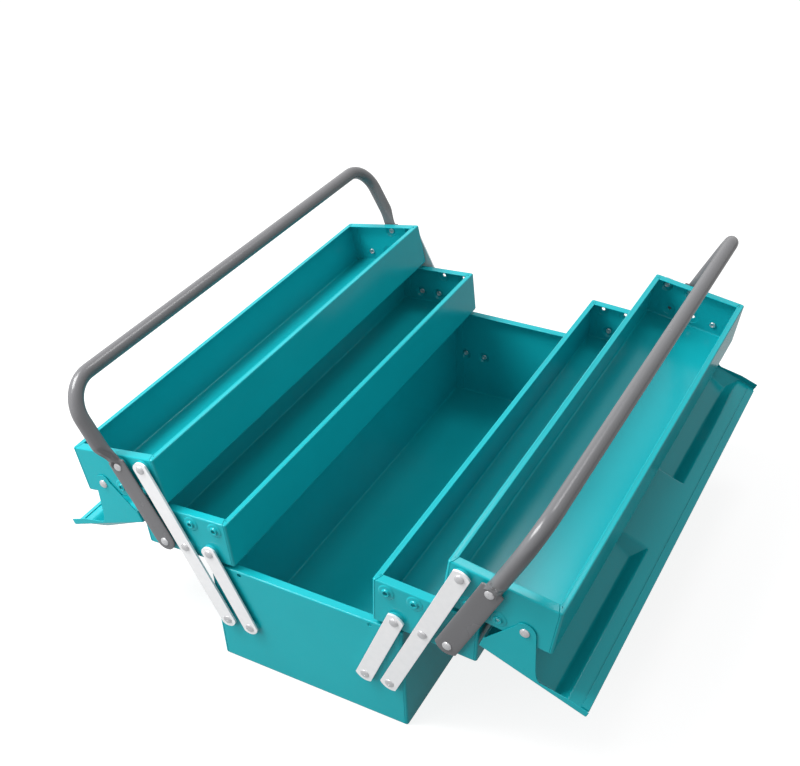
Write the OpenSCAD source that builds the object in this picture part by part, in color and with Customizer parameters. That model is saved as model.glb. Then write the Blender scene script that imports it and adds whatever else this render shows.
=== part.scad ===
// Cantilever tool box: a lower box, two pairs of trays that swing out on links, two lids and two handles.
// The box stands open, as it does at rest: lids hanging, trays spread. Origin: centre of the underside.
// X is across the box, Y is along it and Z is up. The left half is the right half mirrored.

/* [Box] */
// Length over the end walls
box_l = 495; // [400:5:600]
// Height of the lower box
base_h = 116.5; // [110:0.5:140]
// Thickness of the sheet steel
sheet = 0.8; // [0.6:0.1:1.2]
// How far the lower box stands out past the closed trays on each side
base_margin = 1.4; // [0.5:0.1:3]
// Outside radius of the folds round the bottoms
fold_r = 2.5; // [1.5:0.5:4]
// Outside radius of the upright corners
corner_r = 2; // [1.5:0.5:3]
// Width of the rim folded in along the end walls
end_rim = 8; // [5:0.5:10]
// Width of the rim folded in along the long walls
side_rim = 5; // [3:0.5:7]
// Width of the corner tabs welded behind the end walls
corner_tab = 9; // [6:0.5:12]

/* [Trays] */
// Width of a tray
tray_w = 97; // [90:1:110]
// Height of a tray
tray_h = 48; // [46:1:56]
// Gap between the closed trays, one above the other
tray_gap = 1.2; // [0.8:0.1:2]
// Gap between the lower box and the closed middle trays
seat_gap = 0.5; // [0.3:0.1:1]
// Half of the gap between the left and the right trays when closed
half_gap = 0.6; // [0.5:0.1:1.5]
// Height of the lower row of rivets above a tray's bottom
row_low = 12; // [11:0.5:14]
// Distance of the upper row of rivets below a tray's rim
row_drop = 9.3; // [8.5:0.1:11]

/* [Linkage] */
// Height of the links' lower rivets on the box
pivot_h = 53.7; // [45:0.1:60]
// Short link's rivet, from the middle tray's inner wall
short_u = 23; // [21:0.5:25]
// Long link's rivet on the middle tray
long_u = 49.5; // [48:0.5:51]
// Handle's rivet on the middle tray, and the lid's rivet on the top tray
outer_u = 72.5; // [71:0.5:75]
// Long link's rivet on the top tray
top_u = 13.6; // [12:0.1:15]
// Upper open hole that lies between the rows on both trays
spare_u = 39.8; // [38:0.1:42]
// Long link's angle above level when the box is open
open_angle = 65.1; // [60:0.1:70]
// Tilt of the open middle tray
tilt_mid = 3.7; // [2:0.1:5]
// Tilt of the open top tray
tilt_top = 9.7; // [8:0.1:11]
// Width of a link
link_w = 16; // [12:0.5:17]
// Thickness of a link
link_t = 2; // [1.5:0.1:3]
// How far a link runs past its end rivets
link_past = 7.5; // [6.5:0.5:9]
// Radius of the right links' shallow end arcs
link_arc = 12; // [10:0.5:16]
// Radius of the left links' rounder end arcs
left_link_arc = 9; // [8.5:0.5:12]

/* [Rivets] */
// Diameter of a rivet's shank
rivet_d = 4; // [3:0.5:5]
// Diameter of a rivet's domed head
head_d = 8.5; // [7:0.5:10]
// Height of a rivet's domed head
head_h = 2; // [1.5:0.1:2.5]
// Diameter of a rivet's tail, inside the box or tray
tail_d = 6.5; // [6:0.5:7]
// Height of a rivet's tail
tail_h = 1.4; // [1:0.1:2]
// Diameter of a pressed boss at its foot
boss_d = 16; // [14:0.5:18]
// Height of a pressed boss
boss_h = 2.4; // [2:0.1:3]
// Gap between flat faces that turn past each other
side_gap = 0.2; // [0.15:0.05:0.3]
// Radial play of a rivet in its holes
running = 0.05; // [0.03:0.01:0.1]
// Radial play where a tray's second link leaves room for the closed linkage to breathe
loose = 0.35; // [0.3:0.05:0.5]

/* [Handles] */
// Height of the closed handles above the top trays' rims
handle_rise = 75.8; // [70:0.1:90]
// Diameter of the handle tube
tube_d = 14; // [12:0.5:16]
// Wall of the handle tube
tube_wall = 1.2; // [0.8:0.1:2]
// Half of the gap between the two closed handles
tube_gap = 0.3; // [0.2:0.1:1]
// Radius of the handle's bends, to the tube's middle
bend_r = 32; // [25:1:35]
// Width of the tube's flattened end
arm_w = 21; // [19:0.5:22]
// Thickness of the tube's flattened end
arm_t = 2.6; // [2.4:0.1:3.5]
// How far the flattened end runs past its lower rivet
arm_past = 9.5; // [8:0.5:11]
// Radius of the shallow arc on the right handle's flattened ends
arm_arc = 14; // [12:0.5:18]
// Radius of the rounder arc on the left handle's flattened ends
left_arm_arc = 11; // [10.8:0.1:14]
// Flat length above the upper rivet
arm_flat = 8; // [7:0.5:10]
// Length over which the tube swells from flat to round
crimp_l = 12; // [8:1:16]

/* [Lids] */
// Slope of a closed lid, from its lip up to the crest
lid_slope = 2.9; // [2:0.1:4]
// How far the lip stands out past the tray
lip_out = 2.5; // [2:0.1:4]
// Height of the lid's lip corner above the tray's rim
lip_rise = 7.2; // [6:0.1:9]
// Depth of the lip
lip_h = 12.5; // [10:0.5:14]
// How far the crest edge stays outside the tray's inner wall
crest_in = 0.1; // [0:0.1:0.5]
// Width of the flat strip along the crest
crest_strip = 19.2; // [16:0.1:22]
// Width of the step down to the strip
lid_step = 9.5; // [8:0.5:12]
// Height to which the panel is pressed out above the strip
lid_press = 11.3; // [8:0.1:12]
// Half length of the recess for the hasp
recess_half = 50.5; // [40:0.5:60]
// Where the recess floor starts, from the lip
recess_from = 38; // [34:0.5:44]
// Width of the hem folded back under the crest
lid_hem = 7; // [5:0.5:9]
// How far the hem stops short of the lid's ends
hem_short = 4; // [2:0.5:6]
// Gap between a lid's ears and the tray's end walls
ear_gap = 0.4; // [0.3:0.1:0.8]
// Radius of an ear round its rivet
ear_r = 9.5; // [8:0.5:10]
// Lean of an ear's straight inner edge
ear_lean = 22; // [18:1:26]
// Radius of the hollow between an ear and the end flange
ear_hollow = 12; // [8:0.5:14]
// Height of the end flange beside the ear
flange_low = 3; // [2.5:0.5:4]
// Height of the end flange at the crest
flange_high = 6.5; // [5:0.5:7]
// How far an open lid hangs below level
hang_angle = 22; // [20:0.5:24]

/* [Hasps] */
// Width of a hasp at its foot
hasp_w = 33; // [28:1:40]
// Width of a hasp at its top
hasp_top_w = 25; // [20:1:27]
// Height of a hasp above the recess
hasp_h = 21; // [18:0.5:24]
// Thickness of a hasp
hasp_t = 1.5; // [1:0.1:2]
// Length of the foot along the lid
hasp_foot = 13; // [10:0.5:16]
// Diameter of the padlock hole
lock_d = 8; // [6:0.5:10]
// Height of the padlock hole above the recess
lock_h = 12.5; // [11:0.5:14]

/* [Hidden] */
$fn = 96;
// Overrun of the cuts
over = 1;
// Diameter and drop below the rim of the small pierced holes in the lower box's end walls
pierce_d = 3.8;
pierce_drop = 3.4;
pierce_x = 67.5;
// Thickness of the slices that the swell of a handle is drawn between
slice = 0.2;
teal = [0.16, 0.62, 0.66];
handle_grey = [0.45, 0.45, 0.47];
zinc = [0.9, 0.9, 0.91];
steel = [0.75, 0.75, 0.76];

half_l = box_l / 2;
tray_pitch = tray_h + tray_gap;
row_up = tray_h - row_drop;
base_w = 2 * (half_gap + tray_w + base_margin);
rivet_r = rivet_d / 2;
fit_r = rivet_r + running;
loose_r = rivet_r + loose;
link_in = boss_h + side_gap;
link_out = link_in + link_t;
arm_out = link_in + arm_t;
tube_off = link_in + tube_d / 2;
stack_h = base_h + seat_gap + tray_pitch + tray_h;

// A tray's own place (u from its inner wall, v from its bottom) turned by the tray's tilt
function turned(tilt, p) = [p[0] * cos(tilt) + p[1] * sin(tilt), p[1] * cos(tilt) - p[0] * sin(tilt)];
// The point at one height that is as far from p as from q
function even_x(p, q, height) = (p[0] + q[0]) / 2 + ((p[1] + q[1]) / 2 - height) * (q[1] - p[1]) / (q[0] - p[0]);
// Lean of the line from p to q away from upright
function lean(p, q) = atan2(q[0] - p[0], q[1] - p[1]);

// Rivet places in a tray
short_at = [short_u, row_low];
long_at = [long_u, row_low];
outer_at = [outer_u, row_low];
top_at = [top_u, row_up];
spare_at = [spare_u, row_up];

// The closed box: inner bottom corners of the right trays, then the rivets as places in X and Z
mid_shut = [half_gap, base_h + seat_gap];
top_shut = mid_shut + [0, tray_pitch];
long_mid_shut = mid_shut + long_at;
long_top_shut = top_shut + top_at;

// The long link is straight through its three rivets when shut, and lies at open_angle when open
run = (long_mid_shut[1] - pivot_h) / (long_top_shut[1] - long_mid_shut[1]);
long_foot = long_mid_shut + run * (long_mid_shut - long_top_shut);
long_dir = [cos(open_angle), sin(open_angle)];
long_mid = long_foot + norm(long_mid_shut - long_foot) * long_dir;
long_top = long_foot + norm(long_top_shut - long_foot) * long_dir;

// The open trays hang from it at their tilts
mid_open = long_mid - turned(tilt_mid, long_at);
top_open = long_top - turned(tilt_top, top_at);

// The short link keeps its length between shut and open, so its foot is even between the two places
short_top_shut = mid_shut + short_at;
short_top = mid_open + turned(tilt_mid, short_at);
short_foot = [even_x(short_top_shut, short_top, pivot_h), pivot_h];

// So does the handle, between the middle tray and the top tray, seen from the top tray
arm_foot_shut = mid_shut + outer_at;
arm_foot = mid_open + turned(tilt_mid, outer_at);
arm_u = even_x(arm_foot_shut - top_shut, turned(-tilt_top, arm_foot - top_open), row_up);
arm_at = [arm_u, row_up];
arm_top_shut = top_shut + arm_at;
arm_top = top_open + turned(tilt_top, arm_at);

// The handles meet above the middle of the closed box
tube_shut = [tube_d / 2 + tube_gap, stack_h + handle_rise - tube_d / 2];
leg_l = norm(tube_shut - arm_top_shut);
leg_lean = lean(arm_foot, arm_top) + lean(arm_top_shut, tube_shut) - lean(arm_foot_shut, arm_top_shut);

// The lid in its own frame: a from the lip to the crest, b towards the inside, zero on the crest strip
lid_w = (tray_w + lip_out - crest_in) / cos(lid_slope);
lip_from_pin = [tray_w + lip_out - outer_u, tray_h + lip_rise - row_low];
pin_a = lip_from_pin[0] * cos(lid_slope) - lip_from_pin[1] * sin(lid_slope);
pin_b = lip_from_pin[0] * sin(lid_slope) + lip_from_pin[1] * cos(lid_slope);
step_a = lid_w - crest_strip;
ridge_a = step_a - lid_step;
press_share = lid_press / ridge_a;
sill_a = recess_from / (1 + press_share);
lid_half = half_l + ear_gap + sheet;
lid_pin = top_open + turned(tilt_top, outer_at);

// Shapes drawn in X and Z at the front end, from one distance off the end wall to another
module at_front(from, to) {
    translate([0, -half_l - from, 0]) rotate([90, 0, 0]) linear_extrude(to - from) children();
}
module front_pin(p, from, to, r) {
    translate([p[0], -half_l - from, p[1]]) rotate([90, 0, 0]) cylinder(h = to - from, r = r);
}
module along_y(from, to) {
    translate([0, to, 0]) rotate([90, 0, 0]) linear_extrude(to - from) children();
}
module both_ends() {
    children();
    mirror([0, 1, 0]) children();
}
module left() {
    mirror([1, 0, 0]) children();
}
// A piece drawn at a place, turned with its lean
module placed(p, tilt) {
    translate([p[0], 0, p[1]]) rotate([0, tilt, 0]) children();
}

// Rounded block of the folded sheet: all bottom edges and upright corners have their radii
module pan_block(w, l, h, r_fold, r_corner) {
    intersection() {
        linear_extrude(h) round_plan(w, l, r_corner);
        along_y(-l / 2, l / 2) round_foot(w, h, r_fold);
        rotate([0, 0, 90]) along_y(-w / 2, w / 2) round_foot(l, h, r_fold);
    }
}
module round_plan(w, l, r) {
    square([w - 2 * r, l], center = true);
    square([w, l - 2 * r], center = true);
    for (x = [-1, 1], y = [-1, 1]) translate([x * (w / 2 - r), y * (l / 2 - r)]) circle(r);
}
module round_foot(w, h, r) {
    translate([-w / 2, r]) square([w, h - r]);
    translate([r - w / 2, 0]) square([w - 2 * r, h]);
    for (x = [-1, 1]) translate([x * (w / 2 - r), r]) circle(r);
}
// Open pan of folded sheet with its rims and corner tabs, its middle on the Z axis
module pan(w, h) {
    difference() {
        pan_block(w, box_l, h, fold_r, corner_r);
        translate([0, 0, sheet])
            pan_block(w - 2 * sheet, box_l - 2 * sheet, h, fold_r - sheet, corner_r - sheet);
    }
    for (y = [-1, 1]) translate([0, y * (half_l - sheet - end_rim / 2), h - sheet / 2])
        cube([w - 2 * sheet, end_rim, sheet], center = true);
    for (x = [-1, 1]) translate([x * (w / 2 - sheet - side_rim / 2), 0, h - sheet / 2])
        cube([side_rim, box_l - 2 * sheet, sheet], center = true);
    for (x = [-1, 1], y = [-1, 1])
        translate([x * (w / 2 - sheet - corner_tab / 2), y * (half_l - 1.5 * sheet), (h + fold_r) / 2])
            cube([corner_tab, sheet, h - fold_r - sheet], center = true);
}
// Boss pressed out of an end wall: the steel added, then the hollow and the bore taken away
module boss(p) {
    translate([p[0], -half_l, p[1]]) rotate([90, 0, 0])
        cylinder(h = boss_h, r1 = boss_d / 2, r2 = boss_d / 2 - boss_h);
}
module boss_hollow(p) {
    translate([p[0], sheet - half_l, p[1]]) rotate([90, 0, 0])
        cylinder(h = boss_h, r1 = boss_d / 2 - sheet, r2 = boss_d / 2 - boss_h - sheet);
    front_pin(p, -2 * sheet - over, -sheet, boss_d / 2 - sheet);
    front_pin(p, -over, boss_h + over, fit_r);
}
module pan_with_bosses(w, h, places) {
    difference() {
        union() {
            pan(w, h);
            both_ends() for (p = places) boss(p);
        }
        both_ends() for (p = places) boss_hollow(p);
    }
}

module base_tub() {
    feet = [short_foot, long_foot, [-short_foot[0], pivot_h], [-long_foot[0], pivot_h]];
    color(teal) difference() {
        pan_with_bosses(base_w, base_h, feet);
        both_ends() for (x = [-pierce_x, pierce_x])
            front_pin([x, base_h - pierce_drop], -over - sheet, over, pierce_d / 2);
    }
}
// A tray in its own frame: the inner bottom corner at the origin
module tray(places) {
    translate([tray_w / 2, 0, 0]) pan_with_bosses(tray_w, tray_h, [for (p = places) p - [tray_w / 2, 0]]);
}
module mid_tray() {
    color(teal) placed(mid_open, tilt_mid) tray([short_at, long_at, outer_at, top_at, spare_at]);
}
module top_tray() {
    color(teal) placed(top_open, tilt_top) difference() {
        tray([top_at, arm_at, short_at, long_at]);
        both_ends() front_pin(outer_at, -over - sheet, over, fit_r);
    }
}

// Domed rivet at the front end: tail, shank and head, from the tail's face to the head's face
module rivet(p, tail_face, head_face) {
    dome_r = (head_d * head_d / 4 + head_h * head_h) / (2 * head_h);
    front_pin(p, tail_face - tail_h, tail_face, tail_d / 2);
    front_pin(p, tail_face, head_face, rivet_r);
    translate([p[0], -half_l - head_face, p[1]]) rotate([90, 0, 0]) intersection() {
        translate([0, 0, head_h - dome_r]) sphere(dome_r);
        cylinder(h = head_h, r = head_d / 2);
    }
}
module base_rivets() {
    color(steel) both_ends() for (p = [short_foot, long_foot]) {
        rivet(p, boss_h - sheet, link_out + side_gap);
        left() rivet(p, boss_h - sheet, link_out + side_gap);
    }
}
module mid_rivets() {
    color(steel) both_ends() {
        for (p = [short_top, long_mid]) rivet(p, boss_h - sheet, link_out + side_gap);
        rivet(arm_foot, boss_h - sheet, arm_out + side_gap);
    }
}
module top_rivets() {
    color(steel) both_ends() {
        rivet(long_top, boss_h - sheet, link_out + side_gap);
        rivet(arm_top, boss_h - sheet, arm_out + side_gap);
    }
}
module lid_rivets() {
    color(steel) both_ends() rivet(lid_pin, -sheet - side_gap, ear_gap + sheet + side_gap);
}

// Flat bar outline along +Y from rivet to rivet, with a shallow arc past each end
module bar_outline(l, w, past, arc) {
    corner = past - arc + sqrt(arc * arc - w * w / 4);
    translate([-w / 2, -corner]) square([w, l + 2 * corner]);
    intersection() {
        translate([-w / 2, -past - over]) square([w, l + 2 * (past + over)]);
        union() {
            translate([0, arc - past]) circle(arc);
            translate([0, l + past - arc]) circle(arc);
        }
    }
}
module link(foot, top, holes, arc) {
    color(zinc) difference() {
        placed(foot, lean(foot, top)) at_front(link_in, link_out)
            bar_outline(norm(top - foot), link_w, link_past, arc);
        for (h = holes) front_pin(h[0], link_in - over, link_out + over, h[1]);
    }
}
module short_link(arc) {
    link(short_foot, short_top, [[short_foot, fit_r], [short_top, loose_r]], arc);
}
module long_link(arc) {
    link(long_foot, long_top, [[long_foot, fit_r], [long_mid, fit_r], [long_top, fit_r]], arc);
}

// Flattened ends of the handle tube, then its legs, bends and bar
module arm_plate(arc) {
    arm_l = norm(arm_top - arm_foot);
    corner = arm_past - arc + sqrt(arc * arc - arm_w * arm_w / 4);
    difference() {
        union() {
            placed(arm_foot, lean(arm_foot, arm_top)) at_front(link_in, arm_out) {
                translate([-arm_w / 2, -corner]) square([arm_w, arm_l + corner]);
                intersection() {
                    translate([-arm_w / 2, -arm_past - over]) square([arm_w, arm_past + over]);
                    translate([0, arc - arm_past]) circle(arc);
                }
            }
            placed(arm_top, leg_lean) at_front(link_in, arm_out)
                translate([-arm_w / 2, 0]) square([arm_w, arm_flat]);
        }
        front_pin(arm_foot, link_in - over, arm_out + over, fit_r);
        front_pin(arm_top, link_in - over, arm_out + over, loose_r);
    }
}
module swell() {
    hull() {
        at_front(link_in, arm_out) translate([-arm_w / 2, arm_flat - slice]) square([arm_w, slice]);
        translate([0, -half_l - tube_off, arm_flat + crimp_l]) cylinder(h = slice, d = tube_d - slice, $fn = 32);
    }
}
// The round run of the tube at one diameter: a leg from the swell up, a bend, and half of the bar
module half_run(d, from) {
    leg_y = half_l + tube_off;
    translate([0, -leg_y, from]) cylinder(h = leg_l - bend_r - from, d = d);
    translate([0, bend_r - leg_y, leg_l - bend_r]) rotate([90, 0, -90])
        rotate_extrude(angle = 90) translate([bend_r, 0]) circle(d = d);
    translate([0, 0, leg_l]) along_y(bend_r - leg_y, 0) circle(d = d);
}
module handle(arc) {
    from = arm_flat + crimp_l;
    color(handle_grey) {
        both_ends() {
            arm_plate(arc);
            placed(arm_top, leg_lean) swell();
        }
        placed(arm_top, leg_lean) difference() {
            both_ends() half_run(tube_d, from);
            both_ends() half_run(tube_d - 2 * tube_wall, from + tube_wall);
        }
    }
}

// Lid: outline of the pressed panel in its own frame, across the lid and along it
module pressed_form() {
    intersection() {
        along_y(-lid_half, lid_half) polygon([[0, 0], [ridge_a, -lid_press], [step_a, 0]]);
        rotate([90, 0, 90]) linear_extrude(lid_w) for (s = [-1, 1])
            polygon([[s * recess_half, 0], [s * (recess_half + lid_press), -lid_press],
                [s * (half_l - lid_press), -lid_press], [s * half_l, 0]]);
    }
    along_y(-recess_half - lid_press, recess_half + lid_press)
        polygon([[0, 0], [sill_a, -press_share * sill_a], [recess_from, 0]]);
}
// End flange with its ear, as an outline of a and b
module ear_outline() {
    reach = norm([pin_a, pin_b - lip_h]);
    rise = atan2(pin_b - lip_h, pin_a) + asin(ear_r / reach);
    touch = [0, lip_h] + sqrt(reach * reach - ear_r * ear_r) * [cos(rise), sin(rise)];
    edge = [pin_a + ear_r * cos(ear_lean), pin_b + ear_r * sin(ear_lean)];
    foot = [edge[0] + (edge[1] - flange_low) * tan(ear_lean), flange_low];
    half_turn = 45 + ear_lean / 2;
    back = ear_hollow / tan(half_turn);
    hollow = foot + ear_hollow / sin(half_turn) * [cos(half_turn), sin(half_turn)];
    polygon([[0, 0], [0, lip_h], touch, [pin_a, pin_b], edge, foot, [foot[0], 0]]);
    translate([pin_a, pin_b]) circle(ear_r);
    difference() {
        polygon([foot, foot + back * [-sin(ear_lean), cos(ear_lean)], hollow, foot + [back, 0]]);
        translate(hollow) circle(ear_hollow);
    }
    polygon([[pin_a, 0], [pin_a, flange_low], [foot[0] + back, flange_low], [step_a, flange_high],
        [lid_w, flange_high], [lid_w, 0]]);
}
module lid() {
    color(teal) placed(lid_pin, hang_angle) translate([-pin_a, 0, -pin_b]) difference() {
        union() {
            difference() {
                union() {
                    translate([0, -lid_half, 0]) cube([lid_w, 2 * lid_half, sheet]);
                    pressed_form();
                }
                translate([0, 0, sheet]) pressed_form();
            }
            translate([0, -lid_half, 0]) cube([sheet, 2 * lid_half, lip_h]);
            translate([lid_w - lid_hem, hem_short - half_l, 0]) cube([lid_hem, box_l - 2 * hem_short, 2 * sheet]);
            both_ends() at_front(ear_gap, ear_gap + sheet) ear_outline();
        }
        both_ends() front_pin([pin_a, pin_b], ear_gap - over, ear_gap + sheet + over, fit_r);
    }
}
// Hasp: a foot on the recess floor and a tab that stands at the crest
module hasp() {
    color(teal) placed(lid_pin, hang_angle) translate([lid_w - pin_a, 0, -pin_b]) {
        translate([-hasp_foot, -hasp_w / 2, -hasp_t]) cube([hasp_foot, hasp_w, hasp_t]);
        rotate([90, 0, -90]) linear_extrude(hasp_t) difference() {
            polygon([[-hasp_w / 2, 0], [hasp_w / 2, 0], [hasp_top_w / 2, -hasp_h], [-hasp_top_w / 2, -hasp_h]]);
            translate([0, -lock_h]) circle(d = lock_d);
        }
    }
}

base_tub();
left() mid_tray();  // left_mid_tray
mid_tray();  // right_mid_tray
left() top_tray();  // left_top_tray
top_tray();  // right_top_tray
left() lid();  // left_lid
lid();  // right_lid
left() hasp();  // left_hasp
hasp();  // right_hasp
left() handle(left_arm_arc);  // left_handle
handle(arm_arc);  // right_handle
left() short_link(left_link_arc);  // left_front_short_link
left() mirror([0, 1, 0]) short_link(left_link_arc);  // left_back_short_link
short_link(link_arc);  // right_front_short_link
mirror([0, 1, 0]) short_link(link_arc);  // right_back_short_link
left() long_link(left_link_arc);  // left_front_long_link
left() mirror([0, 1, 0]) long_link(left_link_arc);  // left_back_long_link
long_link(link_arc);  // right_front_long_link
mirror([0, 1, 0]) long_link(link_arc);  // right_back_long_link
base_rivets();
left() mid_rivets();  // left_mid_rivets
mid_rivets();  // right_mid_rivets
left() top_rivets();  // left_top_rivets
top_rivets();  // right_top_rivets
left() lid_rivets();  // left_lid_rivets
lid_rivets();  // right_lid_rivets
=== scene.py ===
import math
import bmesh
import bpy
from mathutils import Matrix, Vector
from mathutils.geometry import delaunay_2d_cdt


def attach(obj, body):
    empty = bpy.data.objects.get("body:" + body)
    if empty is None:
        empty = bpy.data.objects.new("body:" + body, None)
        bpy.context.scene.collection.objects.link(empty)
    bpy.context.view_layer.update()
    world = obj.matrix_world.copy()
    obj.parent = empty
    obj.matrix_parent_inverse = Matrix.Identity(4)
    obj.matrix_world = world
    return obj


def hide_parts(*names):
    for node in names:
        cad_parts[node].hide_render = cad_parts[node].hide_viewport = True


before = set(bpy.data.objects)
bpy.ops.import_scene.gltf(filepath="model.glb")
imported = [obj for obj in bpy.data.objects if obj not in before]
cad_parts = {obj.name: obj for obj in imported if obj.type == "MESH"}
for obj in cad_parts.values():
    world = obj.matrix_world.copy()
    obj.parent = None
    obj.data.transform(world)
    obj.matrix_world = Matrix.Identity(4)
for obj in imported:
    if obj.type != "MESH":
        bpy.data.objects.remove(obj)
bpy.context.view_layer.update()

# Cantilever tool box, open. X is across the box, Y along it, Z up. Shapes are worked out in mm on the
# right half and turned into metres when a piece is made. The left half is the right half mirrored.
scene = bpy.context.scene
mm = 0.001

# Rivet places of the open box, right side, as X and Z
places = {
    "shortFoot": (61.0907, 53.7), "longFoot": (85.7162, 53.7),
    "shortTop": (94.343, 130.965), "longMid": (120.788, 129.255), "longTop": (156.139, 205.412),
    "armFoot": (143.740, 127.771), "armTop": (182.022, 200.988), "lidPin": (209.698, 169.170),
    "midTray": (70.6166, 120.475), "topTray": (136.213, 169.557),
}
tilts = {"midTray": 3.7, "topTray": 9.7, "lid": 22.0, "leg": 27.8693}
halfLength = 247.5   # half of the length over the end walls
sheet = 0.8          # steel sheet


# Small helpers
def addNode(tree, kind, settings=None, links=None):
    node = tree.nodes.new(kind)
    for key, value in (settings or {}).items():
        if isinstance(key, str) and hasattr(node, key):
            setattr(node, key, value)
        else:
            node.inputs[key].default_value = value
    for key, source in (links or {}).items():
        tree.links.new(source, node.inputs[key])
    return node


def hexLinear(code):
    parts = [int(code[i:i + 2], 16) / 255 for i in (1, 3, 5)]
    return tuple(c / 12.92 if c <= 0.04045 else ((c + 0.055) / 1.055) ** 2.4 for c in parts) + (1.0,)


def placed(place, tilt):
    return Matrix.Translation((place[0], 0, place[1])) @ Matrix.Rotation(math.radians(tilt), 4, "Y")


def addFace(bm, corners):
    if len(set(corners)) > 2 and not bm.faces.get(corners):
        bm.faces.new(corners)


# Skins a list of rings, but leaves out each face named in skip by its ring and its place
def loft(bm, rings, closed=True, skip=()):
    for n, (low, high) in enumerate(zip(rings, rings[1:])):
        count = len(low)
        for i in range(count if closed else count - 1):
            if (n, i) not in skip:
                j = (i + 1) % count
                addFace(bm, [low[i], low[j], high[j], high[i]])


def spread(first, last, step):
    count = max(1, round((last - first) / step))
    return [first + (last - first) * k / count for k in range(count)]


# Stops from a start through legs, each given as its end and its step
def stepped(start, *legs):
    stops = []
    for end, step in legs:
        stops += spread(start, end, step)
        start = end
    return stops + [start]


def quarterTurns(count):
    return [math.pi / 2 * k / count for k in range(count + 1)]


# Turns a shape in mm into a finished piece that rides on its body and stands for its CAD nodes
def addPiece(name, bm, material, body, nodes, place=None, left=False, outside=None, modifiers=(), sharp=35):
    if place:
        bmesh.ops.transform(bm, matrix=place, verts=bm.verts)
    bmesh.ops.scale(bm, vec=(-mm if left else mm, mm, mm), verts=bm.verts)
    bmesh.ops.remove_doubles(bm, verts=bm.verts, dist=2e-6)
    bmesh.ops.recalc_face_normals(bm, faces=bm.faces)
    if outside is not None:   # an open sheet: its large face has to look away from the inside
        way = Vector((-outside.x if left else outside.x, outside.y, outside.z))
        if sum(face.normal.dot(way) * face.calc_area() for face in bm.faces) < 0:
            bmesh.ops.reverse_faces(bm, faces=bm.faces)
    mesh = bpy.data.meshes.new(name)
    bm.to_mesh(mesh)
    bm.free()
    return finishPiece(name, mesh, material, body, nodes, modifiers, sharp)


def finishPiece(name, mesh, material, body, nodes, modifiers=(), sharp=35):
    mesh.materials.clear()
    mesh.materials.append(material)
    mesh.shade_smooth()
    mesh.set_sharp_from_angle(angle=math.radians(sharp))
    piece = bpy.data.objects.new(name, mesh)
    scene.collection.objects.link(piece)
    for kind, settings in modifiers:
        modifier = piece.modifiers.new(kind.title(), kind)
        for key, value in settings.items():
            setattr(modifier, key, value)
    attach(piece, body)
    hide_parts(*nodes)
    return piece


# Runs a Geometry Nodes tree on a mesh once and gives back the plain result
def bakeNodes(name, mesh, tree, inputs):
    holder = bpy.data.objects.new(name + "Maker", mesh)
    scene.collection.objects.link(holder)
    modifier = holder.modifiers.new("Maker", "NODES")
    modifier.node_group = tree
    for item in tree.interface.items_tree:
        if item.item_type == "SOCKET" and item.name in inputs:
            modifier[item.identifier] = inputs[item.name]
    holder.update_tag()
    graph = bpy.context.evaluated_depsgraph_get()
    result = bpy.data.meshes.new_from_object(holder.evaluated_get(graph))
    result.name = name
    bpy.data.objects.remove(holder)
    return result


def newTree(name, sockets):
    tree = bpy.data.node_groups.new(name, "GeometryNodeTree")
    tree.interface.new_socket("Geometry", in_out="INPUT", socket_type="NodeSocketGeometry")
    tree.interface.new_socket("Geometry", in_out="OUTPUT", socket_type="NodeSocketGeometry")
    for label, kind, value in sockets:
        socket = tree.interface.new_socket(label, in_out="INPUT", socket_type="NodeSocket" + kind)
        if value is not None:
            socket.default_value = value
    return tree, tree.nodes.new("NodeGroupInput").outputs, tree.nodes.new("NodeGroupOutput").inputs


# Materials
# Sprayed and baked enamel: a wet gloss with a faint orange peel, slightly uneven in depth of colour
enamelLook = {
    "colours": ("#10A0A9", "#14A9B2"), "roughness": (0.16, 0.26), "cloudWidth": 70, "cloudSpan": (0.1, 0.9),
    "reliefWidth": 2.5, "reliefDetail": 1.0, "reliefStrength": 0.6, "reliefDepth": 0.018, "sockets": {"IOR": 1.32},
}
greyLook = {
    "colours": ("#656567", "#6B6B6E"), "roughness": (0.22, 0.30), "cloudWidth": 60, "cloudSpan": (0.1, 0.9),
    "reliefWidth": 2.0, "reliefDetail": 1.0, "reliefStrength": 0.6, "reliefDepth": 0.003, "sockets": {"IOR": 1.5},
}
# Plated or bare pressed steel, softly clouded, with faint marks of the tool; the links' zinc is dulled almost to white
zincLook = {
    "colours": ("#E6E7E9", "#F2F2F3"), "roughness": (0.30, 0.42), "cloudWidth": 6, "cloudSpan": (0.3, 0.7),
    "reliefWidth": 0.5, "reliefDetail": 2.0, "reliefStrength": 0.4, "reliefDepth": 0.004, "sockets": {"Metallic": 0.2},
}
rivetLook = {
    "colours": ("#C0C0C3", "#DDDDDF"), "roughness": (0.26, 0.40), "cloudWidth": 3, "cloudSpan": (0.3, 0.7),
    "reliefWidth": 0.4, "reliefDetail": 2.0, "reliefStrength": 0.4, "reliefDepth": 0.004, "sockets": {"Metallic": 0.75},
}


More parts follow.
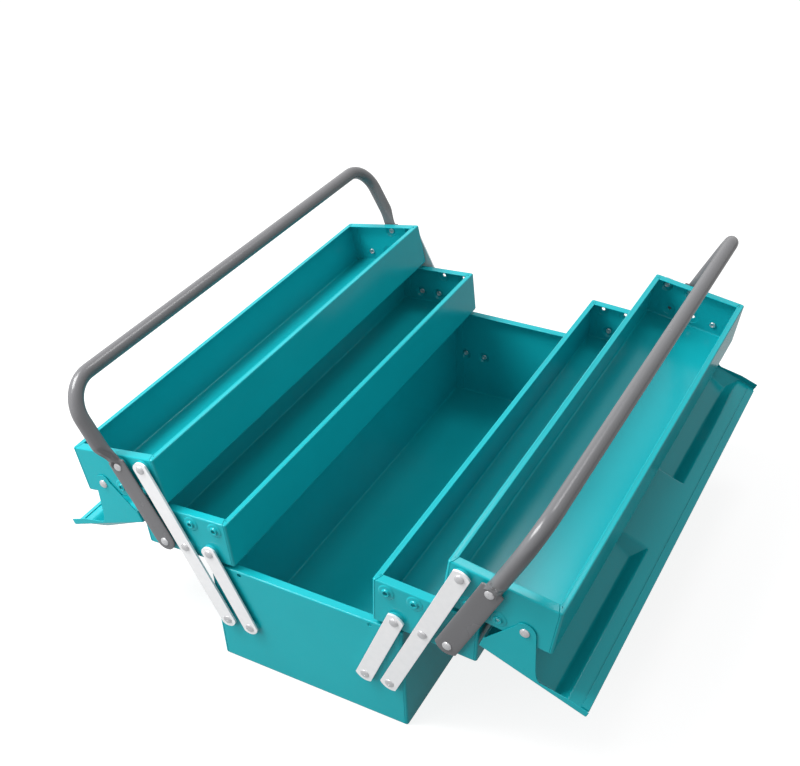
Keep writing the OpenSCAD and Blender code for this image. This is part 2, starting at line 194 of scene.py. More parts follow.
# Clouds shift the colour and the gloss a little, and a fine relief breaks up the reflections
def finish(name, look):
    material = bpy.data.materials.new(name)
    material.use_nodes = True
    tree = material.node_tree
    shader = tree.nodes["Principled BSDF"]
    for socket, value in look["sockets"].items():
        shader.inputs[socket].default_value = value
    deeper, colour = (hexLinear(code) for code in look["colours"])
    (low, high), (glossy, duller) = look["cloudSpan"], look["roughness"]
    where = addNode(tree, "ShaderNodeTexCoord").outputs["Object"]
    clouds = addNode(tree, "ShaderNodeTexNoise", {"Scale": 1 / (look["cloudWidth"] * mm), "Detail": 3.0}, {"Vector": where})
    grain = addNode(tree, "ShaderNodeTexNoise", {"Scale": 1 / (look["reliefWidth"] * mm), "Detail": look["reliefDetail"]},
                    {"Vector": where})
    tint = addNode(tree, "ShaderNodeMix", {"data_type": "RGBA", 6: deeper, 7: colour}, {0: clouds.outputs[0]})
    gloss = addNode(tree, "ShaderNodeMapRange", {1: low, 2: high, 3: glossy, 4: duller}, {0: clouds.outputs[0]})
    relief = addNode(tree, "ShaderNodeBump", {"Strength": look["reliefStrength"], "Distance": look["reliefDepth"] * mm},
                     {"Height": grain.outputs[0]})
    tree.links.new(tint.outputs[2], shader.inputs["Base Color"])
    tree.links.new(gloss.outputs[0], shader.inputs["Roughness"])
    tree.links.new(relief.outputs[0], shader.inputs["Normal"])
    return material


tealEnamel = finish("stovedTealEnamel", enamelLook)
greyEnamel = finish("stovedGreyEnamel", greyLook)
zincPlate = finish("brightZincPlate", zincLook)
rivetSteel = finish("headedRivetSteel", rivetLook)
print("materials made")

# Lower box and trays
panLook = {
    "fold": 2.5, "corner": 2.0, "rimFold": 1.3, "sideRim": 5.8, "endRim": 8.8, "hem": 0.8, "rimDish": 0.35, "tab": 9.0,
    "seamAt": 2.6, "seamHalf": 0.42, "seamDeep": 0.4, "buttSeam": 0.55, "buttAt": 1.1, "innerCorner": 1.1, "overlap": 0.05,
}
# A pressed boss that takes a rivet: flare on the wall, flat top, down the bore and back up its hollow
bossProfile = [
    (7.9, 0), (7.65, 0.08), (7.35, 0.3), (6.2, 1.6), (5.95, 2.05), (5.6, 2.32), (5.2, 2.4), (2.3, 2.4),
    (2.07, 2.2), (2.07, 1.75), (2.25, 1.6), (4.5, 1.6), (4.8, 1.5), (6.7, -0.45), (6.9, -0.7), (7.1, -sheet),
]
# An open one: a shallow dish with a drawn collar round the bore
collarProfile = [
    (7.9, 0), (7.6, 0.06), (7.2, 0.3), (6.7, 0.62), (6.2, 0.72), (4.4, 0.78), (4.0, 0.9), (3.75, 1.25),
    (3.5, 2.1), (3.3, 2.34), (2.95, 2.4), (2.3, 2.36), (2.07, 2.15), (2.07, 0.9), (2.4, 0.3), (3.0, 0.02),
    (5.8, -0.1), (6.4, -0.3), (6.8, -0.65), (7.1, -sheet),
]
# A plain hole's edge: how far past its radius, and how far out
holeProfile = [(0.3, 0), (0.1, -0.12), (0, -0.35), (0, -sheet)]
roundSteps = 36
unitCircle = [(math.cos(2 * math.pi * k / roundSteps), math.sin(2 * math.pi * k / roundSteps)) for k in range(roundSteps)]


# One level of a pan: four rounded corners, each with its seam on the end wall and where the end rim butts on the side rim
def panRing(bm, half, inset, z, radius, seam, at, butt, dish):
    hx, hy = half[0] - inset[0], half[1] - inset[1]
    lap = max(panLook["endRim"] - inset[1], radius + 0.3)
    wide = panLook["seamHalf"]
    corner = [(hx, hy - lap, z - dish), (hx, hy - lap + 2, z - dish)]
    for turn in quarterTurns(4):
        corner.append((hx - radius + radius * math.cos(turn), hy - radius + radius * math.sin(turn), z))
    corner += [(hx - at + wide, hy, z), (hx - at, hy - seam, z - butt), (hx - at - wide, hy, z)]
    points = []
    for flipX, flipY in ((1, 1), (-1, 1), (-1, -1), (1, -1)):
        quarter = corner if flipX == flipY else corner[::-1]
        points += [(flipX * x, flipY * y, level) for x, y, level in quarter]
    return [bm.verts.new(p) for p in points]


# A flat end wall with round openings
def piercedPanel(bm, halfX, zLow, zHigh, y, circles):
    points = [(-halfX, zLow), (halfX, zLow), (halfX, zHigh), (-halfX, zHigh)]
    edges = [(0, 1), (1, 2), (2, 3), (3, 0)]
    for x, z, r in circles:
        first = len(points)
        points += [(x + r * across, z + r * up) for across, up in unitCircle]
        edges += [(first + k, first + (k + 1) % roundSteps) for k in range(roundSteps)]
    flat, _, faces = delaunay_2d_cdt([Vector(p) for p in points], edges, [], 1, 1e-6, False)[:3]
    verts = [bm.verts.new((p[0], y, p[1])) for p in flat]
    for face in faces:
        middle = sum((flat[i] for i in face), Vector((0, 0))) / len(face)
        if all((middle - Vector((x, z))).length > r * 0.999 for x, z, r in circles):
            addFace(bm, [verts[i] for i in face])


def revolve(bm, centre, profile, side):
    loft(bm, [[bm.verts.new((centre[0] + r * across, side * (halfLength + out), centre[1] + r * up)) for across, up in unitCircle]
              for r, out in profile])


def block(bm, x, y, z):
    rings = [[bm.verts.new((a, b, level)) for a, b in ((x[0], y[0]), (x[1], y[0]), (x[1], y[1]), (x[0], y[1]))] for level in z]
    loft(bm, rings)
    addFace(bm, rings[0][::-1])
    addFace(bm, rings[1])


# The levels of a pan from the outer bottom, up the wall, over the hemmed rim and down inside. Each one is its insets across
# and along, height, corner radius, seam's depth and place, fall of the butt seam, and dish of the side rim
def panLevels(height):
    fold, rimFold, hem = panLook["fold"], panLook["rimFold"], panLook["hem"]
    corner, seam, butt = panLook["corner"], panLook["seamDeep"], panLook["buttSeam"]
    wallAt, rimAt, inner = panLook["seamAt"], panLook["buttAt"], panLook["innerCorner"]
    side, end = panLook["sideRim"] - hem, panLook["endRim"] - hem
    levels = []
    for k, turn in enumerate(quarterTurns(4)):
        inset = fold - fold * math.sin(turn)
        levels.append((inset, inset, fold - fold * math.cos(turn), corner, seam * k / 4, wallAt, 0, 0))
    outerWall = len(levels) - 1
    for k, turn in enumerate(quarterTurns(4)):
        inset = rimFold - rimFold * math.cos(turn)
        levels.append((inset, inset, height - rimFold + rimFold * math.sin(turn), corner, seam, wallAt, butt * k / 4, 0))
    levels.append(((rimFold + side) / 2, (rimFold + end) / 2, height, 1.0, 0, (wallAt + rimAt) / 2, butt, panLook["rimDish"]))
    for k in range(7):
        turn = math.pi * k / 6
        across = hem * math.sin(turn)
        levels.append((side + across, end + across, height - hem + hem * math.cos(turn), 0.6, 0, rimAt, butt if k < 3 else 0, 0))
    underRim = height - 2 * hem
    levels.append((sheet + 0.15, sheet + 0.15, underRim, 1.0, 0, wallAt, 0, 0))
    levels.append((sheet, sheet, underRim - 0.15, inner, 0, wallAt, 0, 0))
    innerWall = len(levels) - 1
    for turn in quarterTurns(4):
        inset = sheet + (fold - sheet) * (1 - math.cos(turn))
        levels.append((inset, inset, fold - (fold - sheet) * math.sin(turn), inner, 0, wallAt, 0, 0))
    return levels, outerWall, innerWall


# Folded pan of sheet steel as one closed shell: the end walls come with their bosses, collars and plain holes
def pan(width, height, bosses, collars, holes):
    bm = bmesh.new()
    half = (width / 2, halfLength)
    levels, outerWall, innerWall = panLevels(height)
    rings = [panRing(bm, half, level[:2], *level[2:]) for level in levels]
    quarter = len(rings[0]) // 4
    loft(bm, rings, skip=[(wall, end * quarter - 1) for wall in (outerWall, innerWall) for end in (1, 3)])
    addFace(bm, rings[0])
    addFace(bm, rings[-1])
    openX = panLook["seamAt"] + panLook["seamHalf"]
    top = height - 2 * panLook["hem"] + 2 * panLook["overlap"]
    for way in (-1, 1):
        outer = [(x, z, bossProfile[0][0]) for x, z in bosses + collars] + [(x, z, r + holeProfile[0][0]) for x, z, r in holes]
        inner = [(x, z, bossProfile[-1][0]) for x, z in bosses + collars] + holes
        piercedPanel(bm, half[0] - openX, levels[outerWall][2], levels[outerWall + 1][2], way * halfLength, outer)
        piercedPanel(bm, half[0] - sheet - openX, levels[innerWall + 1][2], levels[innerWall][2], way * (halfLength - sheet), inner)
        for place in bosses:
            revolve(bm, place, bossProfile, way)
        for place in collars:
            revolve(bm, place, collarProfile, way)
        for x, z, r in holes:
            revolve(bm, (x, z), [(r + past, out) for past, out in holeProfile], way)
        for turn in (-1, 1):   # corner tabs, welded behind the end wall
            x = sorted((turn * (half[0] - sheet + panLook["overlap"]), turn * (half[0] - sheet - panLook["tab"])))
            y = sorted((way * (halfLength - sheet + panLook["overlap"]), way * (halfLength - 2 * sheet)))
            block(bm, x, y, (panLook["fold"], top))
    return bm


boxLook = {"width": 198.0, "height": 116.5, "pierced": (67.5, 112.4, 2.1)}
trayLook = {
    "width": 97.0, "height": 48.0,
    "trays": {
        "MiddleTray": {"node": "mid_tray", "at": "midTray", "riveted": [(23, 12), (49.5, 12), (72.5, 12)],
                       "open": [(13.6, 38.7), (39.8, 38.7)], "holes": []},
        "TopTray": {"node": "top_tray", "at": "topTray", "riveted": [(13.6, 38.7), (39.8585, 38.7)],
                    "open": [(23, 12), (49.5, 12)], "holes": [(72.5, 12.0, 2.05)]},
    },
}
steadyNormals = [("WEIGHTED_NORMAL", {"keep_sharp": True, "weight": 50})]
sides = (("left", True), ("right", False))

feet = [(s * places[n][0], places[n][1]) for s in (-1, 1) for n in ("shortFoot", "longFoot")]
px, pz, pr = boxLook["pierced"]
lowerBox = pan(boxLook["width"], boxLook["height"], feet, [], [(-px, pz, pr), (px, pz, pr)])
addPiece("lowerBox", lowerBox, tealEnamel, "box", ["base_tub"], modifiers=steadyNormals)


# Measured from the tray's middle instead of its inner edge
def centred(spots):
    return [(spot[0] - trayLook["width"] / 2, *spot[1:]) for spot in spots]


for sideName, left in sides:
    for label, tray in trayLook["trays"].items():
        bm = pan(trayLook["width"], trayLook["height"], centred(tray["riveted"]), centred(tray["open"]), centred(tray["holes"]))
        toTray = placed(places[tray["at"]], tilts[tray["at"]]) @ Matrix.Translation((trayLook["width"] / 2, 0, 0))
        body = f"{sideName}_{tray['node']}"
        addPiece(sideName + label, bm, tealEnamel, body, [body], toTray, left, modifiers=steadyNormals)
print("box and trays made")

# Lids
lidLook = {
    "width": 99.5275, "half": 248.7, "lip": 12.5, "fold": 1.2, "press": 11.3, "ridge": 70.8275, "step": 80.3275,
    "recessHalf": 50.5, "recessFrom": 38.0, "soft": 1.6, "pin": (24.7798, 44.5107), "earRadius": 9.5, "earLean": 22.0,
    "hollow": 12.0, "flangeLow": 3.0, "flangeHigh": 6.5, "hemFold": 0.85, "hemBack": 7.0, "hemHalf": 243.5, "edge": 0.3,
    "acrossSteps": [(14, 2.2), (40, 1.0), (46, 1.5), (62, 1.3), (68, 2), (83, 0.9)],
    "alongSteps": [(-234, 0.8), (-64, 10), (-48, 0.8), (48, 12), (64, 0.8), (234, 10)],
}


def softMin(a, b, k):
    blend = max(k - abs(a - b), 0) / k
    return min(a, b) - blend * blend * k / 4


def softMax(a, b, k):
    return -softMin(-a, -b, k)


# How far the panel is pressed out: slope to the ridge, step down to the crest strip, sloped ends, recess for the hasp
def pressed(a, y):
    k, y = lidLook["soft"], abs(y)
    rise = a * lidLook["press"] / lidLook["ridge"]
    drop = (lidLook["step"] - a) * lidLook["press"] / (lidLook["step"] - lidLook["ridge"])
    recess = softMax(y - lidLook["recessHalf"], lidLook["recessFrom"] - a, k)
    return softMax(softMin(softMin(softMin(rise, drop, 2 * k), halfLength - y, k), recess, k), 0, 1.0)


# Height of the end flange, with the ear that carries the rivet
def flangeHeight(a):
    (pinA, pinB), r, low = lidLook["pin"], lidLook["earRadius"], lidLook["flangeLow"]
    lean = math.radians(lidLook["earLean"])
    reach = math.hypot(pinA, pinB - lidLook["lip"])
    rise = math.atan2(pinB - lidLook["lip"], pinA) + math.asin(r / reach)
    touch = math.sqrt(reach * reach - r * r) * math.cos(rise)
    edge = (pinA + r * math.cos(lean), pinB + r * math.sin(lean))
    foot = edge[0] + (edge[1] - low) * math.tan(lean)
    if a < lidLook["fold"]:
        return lidLook["lip"]
    if a < touch:
        return lidLook["lip"] + (a - lidLook["fold"]) * math.tan(rise)
    if a < edge[0]:
        return pinB + math.sqrt(max(r * r - (a - pinA) ** 2, 0))
    line = edge[1] - (a - edge[0]) / math.tan(lean)
    flat = low + max(a - foot - 6, 0) / (lidLook["step"] - foot - 6) * (lidLook["flangeHigh"] - low)
    return softMax(line, min(flat, lidLook["flangeHigh"]), lidLook["hollow"])


# Lid as one folded sheet, worked out from its outer face: a runs from lip to crest, b towards the inside
def lidSheet():
    bm = bmesh.new()
    fold, half, wide, hem = lidLook["fold"], lidLook["half"], lidLook["width"], lidLook["hemFold"]
    turns = quarterTurns(4)[:-1]
    levels = [k / 8 for k in range(9)]
    across = stepped(fold, *lidLook["acrossSteps"], (wide - hem, 2.4))
    along = stepped(-half + fold, *lidLook["alongSteps"], (half - fold, 0.8))
    rows = [("lip", t) for t in reversed(levels[1:])] + [("fold", t) for t in turns] + [("panel", a) for a in across]
    columns = [(-1, t) for t in turns] + [(0, y) for y in along] + [(1, t) for t in reversed(turns)]

    def point(row, column):
        kind, value = row
        way, spot = column
        turn = math.pi / 2 if way == 0 else spot   # a right angle on the panel, zero on the end flange
        if kind == "lip":
            tip, up = 0, fold + value * (lidLook["lip"] - fold)
        elif kind == "fold":
            tip, up = value, fold
        else:
            tip, up = math.pi / 2, fold
        b = up - fold * math.sin(turn) * math.sin(tip)
        a = fold - fold * math.sin(turn) * math.cos(tip)
        y = spot if way == 0 else way * (half - fold + fold * math.cos(turn))
        if kind == "panel":
            a = value
            if way == 0:
                b -= pressed(value, spot)
        return a, y, b

    grid = [[bm.verts.new(point(row, column)) for column in columns] for row in rows]
    loft(bm, grid, closed=False)
    for way in (-1, 1):
        flange = [[bm.verts.new((a, way * half, fold + t * (flangeHeight(a) - fold))) for t in levels]
                  for a in across + [wide - 0.4]]
        loft(bm, flange, closed=False)
    hemRows = [(wide - hem + hem * math.sin(t), hem - hem * math.cos(t)) for t in (math.pi * k / 8 for k in range(9))]
    hemRows += [(wide - 3, 2 * hem), (wide - lidLook["hemBack"], 2 * hem)]
    hemAlong = [y for y in along if abs(y) <= lidLook["hemHalf"]]
    loft(bm, [[bm.verts.new((a, y, b)) for y in hemAlong] for a, b in hemRows], closed=False)
    return bm


pinA, pinB = lidLook["pin"]
lidPlace = placed(places["lidPin"], tilts["lid"]) @ Matrix.Translation((-pinA, 0, -pinB))
lidOutside = lidPlace.to_3x3() @ Vector((0, 0, -1))
lidFinish = [
    ("SOLIDIFY", {"thickness": sheet * mm, "offset": -1.0, "use_even_offset": False}),
    ("BEVEL", {"width": lidLook["edge"] * mm, "segments": 2, "limit_method": "ANGLE", "angle_limit": math.radians(62)}),
    *steadyNormals,
]
for sideName, left in sides:
    addPiece(sideName + "Lid", lidSheet(), tealEnamel, sideName + "_lid", [sideName + "_lid"], lidPlace, left,
             lidOutside, lidFinish, sharp=40)
print("lids made")

# Handles
handleLook = {
    "tube": 7.0, "bend": 32.0, "legLength": 84.8475, "legOut": 9.6, "plateIn": 2.6, "plateWide": 21.0, "plateThick": 2.6,
    "endPast": 9.5, "endArc": {"left": 11.0, "right": 14.0}, "flatTo": 4.6, "shoulderTo": 6.4, "roundFrom": 27.0,
    "lipAt": -1.0, "lipBow": 6.5, "lipHalf": 6.2, "lipRise": 2.6, "crease": 1.1, "creaseFrom": (9, 14),
    "bendWithin": 2.5, "squareness": 3.4, "endThin": 0.75, "endSteps": (0.02, 0.15, 0.5, 1, 1.7, 2.5, 3.5, 4.7, 6), "around": 72,
}

tubeTree, given, out = newTree("bentTube", [
    ("Bend radius", "Float", 0.032), ("Tube radius", "Float", 0.007), ("Finish", "Material", None)])
path = addNode(tubeTree, "GeometryNodeMeshToCurve", links={"Mesh": given["Geometry"]})
bent = addNode(tubeTree, "GeometryNodeFilletCurve", {"mode": "POLY", "Count": 14},
               {"Curve": path.outputs[0], "Radius": given["Bend radius"]})
section = addNode(tubeTree, "GeometryNodeCurvePrimitiveCircle", {"Resolution": 40}, {"Radius": given["Tube radius"]})
swept = addNode(tubeTree, "GeometryNodeCurveToMesh", links={"Curve": bent.outputs[0], "Profile Curve": section.outputs[0]})
solid = addNode(tubeTree, "GeometryNodeRealizeInstances", links={"Geometry": swept.outputs[0]})
coated = addNode(tubeTree, "GeometryNodeSetMaterial", links={"Geometry": solid.outputs[0], "Material": given["Finish"]})
tubeTree.links.new(coated.outputs[0], out["Geometry"])


def ease(x, low, high):
    t = min(max((x - low) / (high - low), 0), 1)
    return t * t * (3 - 2 * t)


# The tube's end: a flat plate with square shoulders, and the round tube that rises from it behind a lip round the rivet
def flattenedEnd(bm, sideName, way):
    look = handleLook
    foot, top = Vector(places["armFoot"]), Vector(places["armTop"])
    length = (top - foot).length
    lean = math.radians(tilts["leg"])
    armWay, legWay = (top - foot).normalized(), Vector((math.sin(lean), math.cos(lean)))
    past, arc, wide, tube = look["endPast"], look["endArc"][sideName], look["plateWide"] / 2, look["tube"]
    thick, crimp = look["plateThick"], look["roundFrom"]
    rings = []
    for s in [-past + d for d in look["endSteps"]] + stepped(0, (length - 4, 9), (length + 9, 0.5), (length + crimp, 0.9)):
        drop = arc - (s + past)
        endHalf = math.sqrt(max(arc * arc - drop * drop, 0)) if drop > 0 else wide
        beyond = s - length
        halfWide = min(endHalf, wide) + (tube - wide) * ease(beyond, look["flatTo"], look["shoulderTo"])
        bend = ease(beyond, -look["bendWithin"], look["bendWithin"])   # the leg leans more than the arm
        away = armWay.lerp(legWay, bend).normalized()
        middle = foot + armWay * s if beyond < 0 else top + legWay * beyond
        across = Vector((away.y, -away.x))
        grown = ease(beyond, look["lipBow"] - 2, crimp)
        creased = look["crease"] * ease(beyond, *look["creaseFrom"]) * (1 - ease(beyond, crimp * 0.5, crimp))
        ring = []
        for k in range(look["around"]):
            turn = 2 * math.pi * k / look["around"]
            u = halfWide * math.cos(turn)
            plate = (1 - abs(math.cos(turn)) ** look["squareness"]) ** (1 / look["squareness"])
            if s < 0:
                plate *= look["endThin"] + (1 - look["endThin"]) * ease(s + past, 0, 1.2)
            share = min(abs(u) / tube, 1)
            circle = math.sqrt(1 - share * share)
            if math.sin(turn) >= 0:
                mouth = max(1 - (u / look["lipHalf"]) ** 2, 0)
                start = look["lipAt"] + look["lipBow"] * mouth - 0.2 * u
                lip = look["lipRise"] * math.sqrt(mouth) * ease(beyond, start, start + 1.5) * (1 - grown)
                lip -= creased * math.cos(1.5 * math.pi * share) ** 2
                flat = thick / 2 + thick / 2 * plate
                out = flat + (tube + tube * circle - flat) * grown + lip
            else:
                flat = thick / 2 - thick / 2 * plate
                out = flat + (tube - tube * circle - flat) * ease(beyond, 6, crimp)
            spot = middle + across * u
            ring.append(bm.verts.new((spot.x, way * (halfLength + look["plateIn"] + out), spot.y)))
        rings.append(ring)
    loft(bm, rings)
    addFace(bm, rings[0])
    addFace(bm, rings[-1])


legY, legFoot, legTop = halfLength + handleLook["legOut"], handleLook["roundFrom"] - 1, handleLook["legLength"]
toLeg = placed(places["armTop"], tilts["leg"])
for sideName, left in sides:
    line = bpy.data.meshes.new("handleLine")
    spots = [toLeg @ Vector(p) * mm for p in ((0, -legY, legFoot), (0, -legY, legTop), (0, legY, legTop), (0, legY, legFoot))]
    line.from_pydata([(-p.x, p.y, p.z) if left else p for p in spots], [(0, 1), (1, 2), (2, 3)], [])
    tube = bakeNodes(sideName + "HandleTube", line, tubeTree, {
        "Bend radius": handleLook["bend"] * mm, "Tube radius": handleLook["tube"] * mm, "Finish": greyEnamel})
    bm = bmesh.new()
    bm.from_mesh(tube)
    bmesh.ops.scale(bm, vec=(-1 / mm if left else 1 / mm, 1 / mm, 1 / mm), verts=bm.verts)
    for way in (-1, 1):
        flattenedEnd(bm, sideName, way)
    addPiece(sideName + "Handle", bm, greyEnamel, sideName + "_handle", [sideName + "_handle"], left=left, sharp=50)
print("handles made")

# Rivets
rivetSize = {"head": 4.25, "rise": 1.7, "flatRise": 1.1, "tail": 3.25, "tailRise": 1.4, "shank": 2.0, "curl": 0.95, "pinHole": 1.6}
rivetTree, given, out = newTree("headedRivets", [
    ("Head radius", "Float", 0.00425), ("Head rise", "Float", 0.002), ("Tail radius", "Float", 0.00325),
    ("Tail rise", "Float", 0.0014), ("Shank radius", "Float", 0.002), ("Curl", "Float", 0.00095), ("Pin hole", "Float", 0.0),
    ("Finish", "Material", None)])


# A vector from three linked or plain numbers
def combine(x, y, z):
    parts = dict(zip("XYZ", (x, y, z)))
    plain = {key: v for key, v in parts.items() if isinstance(v, float)}
    linked = {key: v for key, v in parts.items() if key not in plain}
    return addNode(rivetTree, "ShaderNodeCombineXYZ", plain, linked).outputs[0]


# Arithmetic on two linked or plain numbers
def work(how, a, b):
    plain = {i: v for i, v in enumerate((a, b)) if isinstance(v, float)}
    linked = {i: v for i, v in enumerate((a, b)) if i not in plain}
    return addNode(rivetTree, "ShaderNodeMath", {"operation": how, **plain}, linked).outputs[0]


# Stands one part of the rivet on every point, moved along the rivet's own axis
def stand(shape, shift=None, stretch=1.0):
    points = given["Geometry"]
    if shift is not None:
        slid = addNode(rivetTree, "ShaderNodeVectorMath", {"operation": "SCALE"}, {"Vector": facing.outputs[0], "Scale": shift})
        points = addNode(rivetTree, "GeometryNodeSetPosition", links={"Geometry": points, "Offset": slid.outputs[0]}).outputs[0]
    links = {"Points": points, "Instance": shape.outputs[0], "Rotation": turned.outputs[0], "Scale": combine(1.0, 1.0, stretch)}
    return addNode(rivetTree, "GeometryNodeInstanceOnPoints", links=links).outputs[0]


facing = addNode(rivetTree, "GeometryNodeInputNamedAttribute", {"data_type": "FLOAT_VECTOR", "Name": "outward"})
turned = addNode(rivetTree, "FunctionNodeAlignRotationToVector", {"axis": "Z"}, {"Vector": facing.outputs[0]})
grip = addNode(rivetTree, "GeometryNodeInputNamedAttribute", {"data_type": "FLOAT", "Name": "grip"}).outputs[0]

# Domed head, its pole drawn in where there is a pin hole
ball = addNode(rivetTree, "GeometryNodeMeshUVSphere", {"Segments": 28, "Rings": 18, "Radius": 1.0})
where = addNode(rivetTree, "GeometryNodeInputPosition").outputs[0]
height = addNode(rivetTree, "ShaderNodeSeparateXYZ", links={0: where}).outputs[2]
pole = work("MULTIPLY", work("GREATER_THAN", height, 0.995), work("MULTIPLY", given["Pin hole"], -1.0))
drawn = addNode(rivetTree, "GeometryNodeSetPosition", links={"Geometry": ball.outputs[0], "Offset": combine(0.0, 0.0, pole)})
headScale = combine(given["Head radius"], given["Head radius"], given["Head rise"])
head = addNode(rivetTree, "GeometryNodeTransform", links={"Geometry": drawn.outputs[0], "Scale": headScale})

# Rolled tail behind the sheet
rim = addNode(rivetTree, "GeometryNodeCurvePrimitiveCircle", {"Resolution": 28},
              {"Radius": work("SUBTRACT", given["Tail radius"], given["Curl"])})
curl = addNode(rivetTree, "GeometryNodeCurvePrimitiveCircle", {"Resolution": 12}, {"Radius": given["Curl"]})
tail = addNode(rivetTree, "GeometryNodeCurveToMesh", links={"Curve": rim.outputs[0], "Profile Curve": curl.outputs[0]})
tailPlace = work("MULTIPLY", work("ADD", grip, work("DIVIDE", given["Tail rise"], 2.0)), -1.0)
tailStretch = work("DIVIDE", given["Tail rise"], work("MULTIPLY", given["Curl"], 2.0))

# Shank, sunk a little below a pierced head
shank = addNode(rivetTree, "GeometryNodeMeshCylinder", {"Vertices": 20, "Depth": 1.0}, {"Radius": given["Shank radius"]})
sunk = work("MULTIPLY", given["Pin hole"], 0.0005)
shankLength = work("SUBTRACT", grip, sunk)
shankPlace = work("SUBTRACT", work("MULTIPLY", shankLength, -0.5), sunk)

joined = addNode(rivetTree, "GeometryNodeJoinGeometry")
for part in (stand(head), stand(tail, tailPlace, tailStretch), stand(shank, shankPlace, shankLength)):
    rivetTree.links.new(part, joined.inputs[0])
solid = addNode(rivetTree, "GeometryNodeRealizeInstances", links={"Geometry": joined.outputs[0]})
coated = addNode(rivetTree, "GeometryNodeSetMaterial", links={"Geometry": solid.outputs[0], "Material": given["Finish"]})
rivetTree.links.new(coated.outputs[0], out["Geometry"])


# Rivets of one body: spots give the place and, out from the end wall, the face of the tail and the face of the head
def rivets(name, body, node, spots, rise=rivetSize["rise"], pinHole=0.0):
    points, grips, ways = [], [], []
    for x, z, tailFace, headFace in spots:
        for way in (-1, 1):
            points.append((x * mm, way * (halfLength + headFace) * mm, z * mm))
            grips.append((headFace - tailFace) * mm)
            ways += [0, way, 0]
    mesh = bpy.data.meshes.new(name + "Points")
    mesh.from_pydata(points, [], [])
    mesh.attributes.new("grip", "FLOAT", "POINT").data.foreach_set("value", grips)
    mesh.attributes.new("outward", "FLOAT_VECTOR", "POINT").data.foreach_set("vector", ways)
    result = bakeNodes(name, mesh, rivetTree, {
        "Head radius": rivetSize["head"] * mm, "Head rise": rise * mm, "Pin hole": pinHole,
        "Tail radius": rivetSize["tail"] * mm, "Tail rise": rivetSize["tailRise"] * mm,
        "Shank radius": rivetSize["shank"] * mm, "Curl": rivetSize["curl"] * mm, "Finish": rivetSteel})
    bm = bmesh.new()
    bm.from_mesh(result)
    bmesh.ops.remove_doubles(bm, verts=bm.verts, dist=1e-6)
    bmesh.ops.recalc_face_normals(bm, faces=bm.faces)
    bm.to_mesh(result)
    bm.free()
    return finishPiece(name, result, rivetSteel, body, [node], sharp=50)


# What each kind of rivet holds: the faces of its tail and head, out from the end wall
linkGrip, armGrip, lidGrip = (1.6, 4.8), (1.6, 5.4), (-1.0, 1.4)


def gripped(flip, **grips):
    return [(flip * places[name][0], places[name][1], *grip) for name, grip in grips.items()]


feet = gripped(-1, shortFoot=linkGrip, longFoot=linkGrip) + gripped(1, shortFoot=linkGrip, longFoot=linkGrip)
rivets("lowerBoxRivets", "box", "base_rivets", feet, rivetSize["flatRise"], rivetSize["pinHole"])
for sideName, left in sides:
    flip = -1 if left else 1
    rivets(sideName + "MiddleRivets", sideName + "_mid_tray", sideName + "_mid_rivets",
           gripped(flip, shortTop=linkGrip, longMid=linkGrip, armFoot=armGrip))
    rivets(sideName + "TopRivets", sideName + "_top_tray", sideName + "_top_rivets",
           gripped(flip, longTop=linkGrip, armTop=armGrip))
    rivets(sideName + "LidRivets", sideName + "_lid_pivots", sideName + "_lid_rivets", gripped(flip, lidPin=lidGrip))
print("rivets made")

# Links and hasps
edgeLook = {"link": 0.45, "hasp": 0.5}


# A pressed flat part keeps its CAD shape and gets the rounded edges of a stamping
def stamped(name, node, body, material, edge):
    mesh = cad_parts[node].data.copy()
    bm = bmesh.new()
    bm.from_mesh(mesh)
    bmesh.ops.transform(bm, matrix=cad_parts[node].matrix_world, verts=bm.verts)
    bmesh.ops.remove_doubles(bm, verts=bm.verts, dist=1e-6)
    bmesh.ops.dissolve_limit(bm, angle_limit=math.radians(0.5), verts=bm.verts, edges=bm.edges)
    bm.to_mesh(mesh)
    bm.free()
    rounding = {"width": edge * mm, "segments": 3, "limit_method": "ANGLE", "angle_limit": math.radians(50)}
    return finishPiece(name, mesh, material, body, [node],
                       [("BEVEL", rounding), ("WEIGHTED_NORMAL", {"keep_sharp": False, "weight": 50})], sharp=60)


for sideName, left in sides:
    for end in ("Front", "Back"):
        for kind in ("Short", "Long"):
            node, body = f"{sideName}_{end.lower()}_{kind.lower()}_link", f"{sideName}_{kind.lower()}_links"
            stamped(sideName + end + kind + "Bar", node, body, zincPlate, edgeLook["link"])
    stamped(sideName + "HaspPlate", sideName + "_hasp", sideName + "_lid", tealEnamel, edgeLook["hasp"])
print("links and hasps made")

# Floor, light and camera
studio = {
    "floorSize": 12.0, "floorColour": "#F2F2F2", "floorGlow": 0.84, "floorDiffuse": 0.30,
    "worldLight": 0.55, "worldShine": 1.0, "floorShine": 0.25, "aim": (0, 0, 0.12),
    "lamps": {   # power, size, place, and whether shiny surfaces show it
        "keyLamp": (64.0, 1.1, (-1.15, -0.55, 1.98), True),
        "frontLamp": (12.0, 1.1, (-1.0, -1.05, 0.45), False),
        "farLamp": (5.0, 0.5, (0.12, 0.90, 1.70), True),
    },
}


# How much of the white surroundings a ray sees: all from the camera or through glass, a share off a shiny surface
def seesBackdrop(tree, share):
    path = addNode(tree, "ShaderNodeLightPath").outputs
    shiny = addNode(tree, "ShaderNodeMath", {"operation": "MULTIPLY", 1: share}, {0: path["Is Glossy Ray"]})
    clear = addNode(tree, "ShaderNodeMath", {"operation": "MAXIMUM"}, {0: path["Is Camera Ray"], 1: path["Is Transmission Ray"]})
    return addNode(tree, "ShaderNodeMath", {"operation": "MAXIMUM"}, {0: clear.outputs[0], 1: shiny.outputs[0]}).outputs[0]


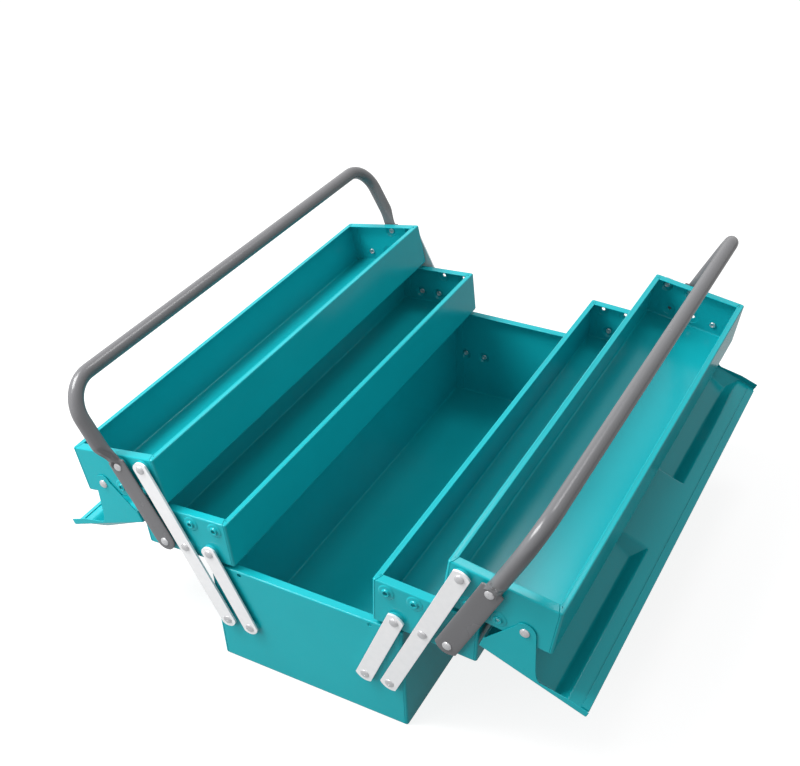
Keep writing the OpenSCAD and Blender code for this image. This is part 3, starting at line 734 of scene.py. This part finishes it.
# Matt paper sweep: white in the picture, with a soft shadow under the box
paper = bpy.data.materials.new("whitePaperSweep")
paper.use_nodes = True
tree = paper.node_tree
tree.nodes.clear()
floorColour = tuple(c * studio["floorDiffuse"] for c in hexLinear(studio["floorColour"])[:3]) + (1.0,)
matt = addNode(tree, "ShaderNodeBsdfDiffuse", {"Color": floorColour})
glow = addNode(tree, "ShaderNodeEmission", {"Color": (1, 1, 1, 1)})
amount = addNode(tree, "ShaderNodeMath", {"operation": "MULTIPLY", 1: studio["floorGlow"]},
                 {0: seesBackdrop(tree, studio["floorShine"])})
tree.links.new(amount.outputs[0], glow.inputs["Strength"])
both = addNode(tree, "ShaderNodeAddShader", links={0: matt.outputs[0], 1: glow.outputs[0]})
addNode(tree, "ShaderNodeOutputMaterial", links={"Surface": both.outputs[0]})
reach = studio["floorSize"] / 2
floorMesh = bpy.data.meshes.new("paperFloor")
floorMesh.from_pydata([(-reach, -reach, 0), (reach, -reach, 0), (reach, reach, 0), (-reach, reach, 0)], [], [(0, 1, 2, 3)])
floorMesh.materials.append(paper)
floor = bpy.data.objects.new("paperFloor", floorMesh)
scene.collection.objects.link(floor)

world = bpy.data.worlds.new("softStudio")
scene.world = world
world.use_nodes = True
tree = world.node_tree
back = tree.nodes["Background"]
back.inputs["Color"].default_value = (1, 1, 1, 1)
level = addNode(tree, "ShaderNodeMapRange", {3: studio["worldLight"], 4: 1.0}, {0: seesBackdrop(tree, studio["worldShine"])})
tree.links.new(level.outputs[0], back.inputs["Strength"])

for name, (power, size, at, shows) in studio["lamps"].items():
    lamp = bpy.data.lights.new(name, "AREA")
    lamp.energy, lamp.size = power, size
    holder = bpy.data.objects.new(name, lamp)
    holder.location = at
    holder.rotation_euler = (Vector(studio["aim"]) - Vector(at)).to_track_quat("-Z", "Y").to_euler()
    holder.visible_glossy = shows
    scene.collection.objects.link(holder)

# The camera that took the photograph, fitted to the box's corners and rivets
view = {
    "at": (0.45806, -0.83332, 0.83333), "turns": (("Z", 30.64), ("X", 55.87), ("Z", -3.30)),
    "lens": 52.57, "sensor": 36, "nearest": 0.02,
}
camera = bpy.data.objects.new("camera", bpy.data.cameras.new("camera"))
camera.data.lens = view["lens"]
camera.data.sensor_width = view["sensor"]
camera.data.clip_start = view["nearest"]
heading, pitch, roll = (Matrix.Rotation(math.radians(angle), 4, axis) for axis, angle in view["turns"])
camera.matrix_world = Matrix.Translation(view["at"]) @ heading @ pitch @ roll
scene.collection.objects.link(camera)
scene.camera = camera
scene.view_settings.view_transform = "Standard"
print("studio made")
